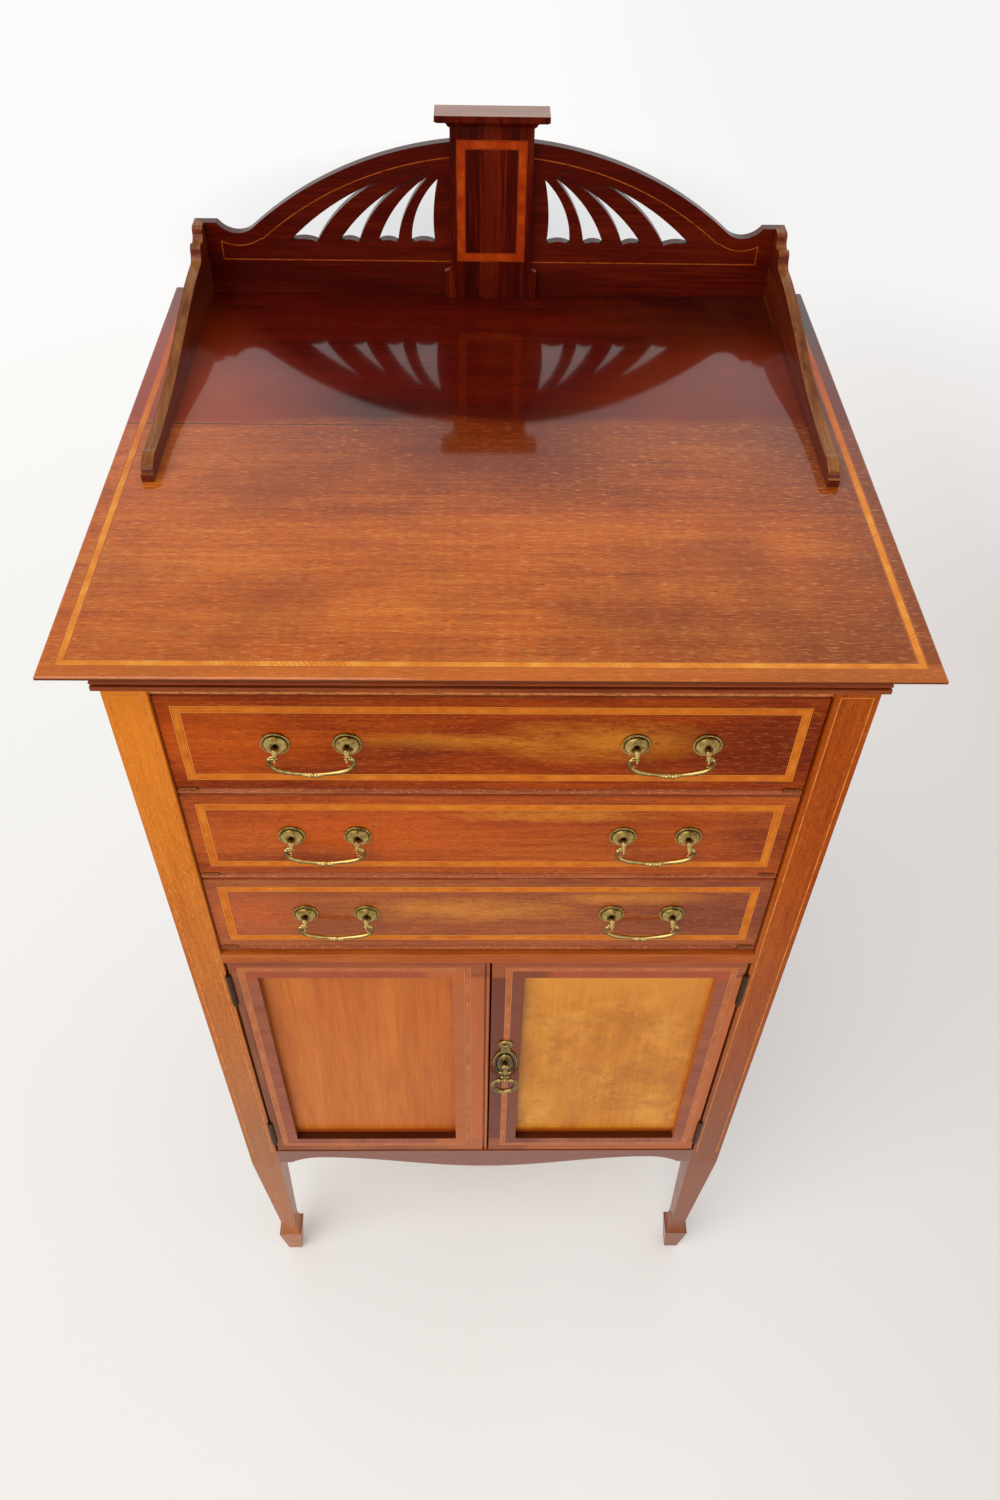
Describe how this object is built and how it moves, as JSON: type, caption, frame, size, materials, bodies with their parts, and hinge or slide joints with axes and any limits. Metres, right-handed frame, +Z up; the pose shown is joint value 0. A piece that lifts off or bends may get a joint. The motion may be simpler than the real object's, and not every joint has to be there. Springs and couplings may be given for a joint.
{
  "type": "music cabinet",
  "caption": "Inlaid music cabinet with fall-front drawers above a two-door cupboard, a pierced fan gallery with a central tablet, and tapered legs on spade feet.",
  "frame": {"origin": "middle of the cabinet's overall footprint, on the floor", "axes": "+Z up, +Y towards the gallery at the back, +X to the right when facing the doors"},
  "size_m": [0.581, 0.52, 1.238],
  "materials": {
    "mahogany": "red-brown mahogany with a worn semi-gloss polish",
    "gallery_mahogany": "dark red mahogany, polished",
    "leg_mahogany": "golden-brown mahogany with dark and light stringing",
    "drawer_mahogany": "red mahogany with faded golden patches, satinwood banding",
    "door_mahogany": "purplish-brown crossbanded mahogany, satinwood banding",
    "panel_mahogany": "faded golden mahogany, satin",
    "plain_wood": "plain inside timber, waxed",
    "old_brass": "dark antique brass with worn high spots",
    "hinge_brass": "dull brass"
  },
  "bodies": {
    "case": {"leg_front_left": "leg_mahogany", "leg_front_right": "leg_mahogany", "leg_back_left": "leg_mahogany", "leg_back_right": "leg_mahogany", "side_panel_left": "mahogany", "side_panel_right": "mahogany", "top_board": "mahogany", "bed_mould": "mahogany", "top_rail": "mahogany", "waist_rail": "leg_mahogany", "apron": "leg_mahogany", "back_panel": "plain_wood", "waist_board": "plain_wood", "cupboard_floor": "plain_wood", "shelf": "plain_wood", "shelf_bearers": "plain_wood", "runners_left": "plain_wood", "runners_right": "plain_wood", "gallery_left": "gallery_mahogany", "gallery_right": "gallery_mahogany", "gallery_wing_left": "gallery_mahogany", "gallery_wing_right": "gallery_mahogany", "tablet": "gallery_mahogany", "tablet_cap": "gallery_mahogany", "door_hinge_leaf_left": "hinge_brass", "door_hinge_leaf_right": "hinge_brass"},
    "drawer_1": {"drawer_bottom_1": "plain_wood", "drawer_box_1": "plain_wood", "fall_hinge_leaf_1": "hinge_brass"},
    "fall_1": {"fall_front_1": "drawer_mahogany", "fall_hinge_flap_1": "hinge_brass", "roses_1": "old_brass"},
    "bail_1_left": {"bail_1_left": "old_brass"},
    "bail_1_right": {"bail_1_right": "old_brass"},
    "drawer_2": {"drawer_bottom_2": "plain_wood", "drawer_box_2": "plain_wood", "fall_hinge_leaf_2": "hinge_brass"},
    "fall_2": {"fall_front_2": "drawer_mahogany", "fall_hinge_flap_2": "hinge_brass", "roses_2": "old_brass"},
    "bail_2_left": {"bail_2_left": "old_brass"},
    "bail_2_right": {"bail_2_right": "old_brass"},
    "drawer_3": {"drawer_bottom_3": "plain_wood", "drawer_box_3": "plain_wood", "fall_hinge_leaf_3": "hinge_brass"},
    "fall_3": {"fall_front_3": "drawer_mahogany", "fall_hinge_flap_3": "hinge_brass", "roses_3": "old_brass"},
    "bail_3_left": {"bail_3_left": "old_brass"},
    "bail_3_right": {"bail_3_right": "old_brass"},
    "door_left": {"door_frame_left": "door_mahogany", "door_panel_left": "panel_mahogany", "door_hinge_flap_left": "hinge_brass", "door_bead": "door_mahogany"},
    "door_right": {"door_frame_right": "door_mahogany", "door_panel_right": "panel_mahogany", "door_hinge_flap_right": "hinge_brass", "ring_plate": "old_brass"},
    "ring": {"ring_pull": "old_brass"}
  },
  "joints": [
    {"name": "drawer_1_slide", "type": "slide", "parent": "case", "child": "drawer_1", "axis": [0, -1, 0], "range_m": [0, 0.32]},
    {"name": "fall_1_hinge", "type": "hinge", "parent": "drawer_1", "child": "fall_1", "pos_m": [0, -0.226, 0.93175], "axis": [1, 0, 0], "range_deg": [0, 90]},
    {"name": "bail_1_left_swing", "type": "hinge", "parent": "fall_1", "child": "bail_1_left", "pos_m": [-0.1285, -0.236, 0.9753], "axis": [-1, 0, 0], "range_deg": [0, 90]},
    {"name": "bail_1_right_swing", "type": "hinge", "parent": "fall_1", "child": "bail_1_right", "pos_m": [0.1285, -0.236, 0.9753], "axis": [-1, 0, 0], "range_deg": [0, 90]},
    {"name": "drawer_2_slide", "type": "slide", "parent": "case", "child": "drawer_2", "axis": [0, -1, 0], "range_m": [0, 0.32]},
    {"name": "fall_2_hinge", "type": "hinge", "parent": "drawer_2", "child": "fall_2", "pos_m": [0, -0.226, 0.82725], "axis": [1, 0, 0], "range_deg": [0, 90]},
    {"name": "bail_2_left_swing", "type": "hinge", "parent": "fall_2", "child": "bail_2_left", "pos_m": [-0.1285, -0.236, 0.8708], "axis": [-1, 0, 0], "range_deg": [0, 90]},
    {"name": "bail_2_right_swing", "type": "hinge", "parent": "fall_2", "child": "bail_2_right", "pos_m": [0.1285, -0.236, 0.8708], "axis": [-1, 0, 0], "range_deg": [0, 90]},
    {"name": "drawer_3_slide", "type": "slide", "parent": "case", "child": "drawer_3", "axis": [0, -1, 0], "range_m": [0, 0.32]},
    {"name": "fall_3_hinge", "type": "hinge", "parent": "drawer_3", "child": "fall_3", "pos_m": [0, -0.226, 0.72275], "axis": [1, 0, 0], "range_deg": [0, 90]},
    {"name": "bail_3_left_swing", "type": "hinge", "parent": "fall_3", "child": "bail_3_left", "pos_m": [-0.1285, -0.236, 0.7663], "axis": [-1, 0, 0], "range_deg": [0, 90]},
    {"name": "bail_3_right_swing", "type": "hinge", "parent": "fall_3", "child": "bail_3_right", "pos_m": [0.1285, -0.236, 0.7663], "axis": [-1, 0, 0], "range_deg": [0, 90]},
    {"name": "door_left_hinge", "type": "hinge", "parent": "case", "child": "door_left", "pos_m": [-0.23275, -0.229, 0.5075], "axis": [0, 0, -1], "range_deg": [0, 110]},
    {"name": "door_right_hinge", "type": "hinge", "parent": "case", "child": "door_right", "pos_m": [0.23275, -0.229, 0.5075], "axis": [0, 0, 1], "range_deg": [0, 110]},
    {"name": "ring_swing", "type": "hinge", "parent": "door_right", "child": "ring", "pos_m": [0.01805, -0.2375, 0.4985], "axis": [-1, 0, 0], "range_deg": [0, 90]}
  ]
}
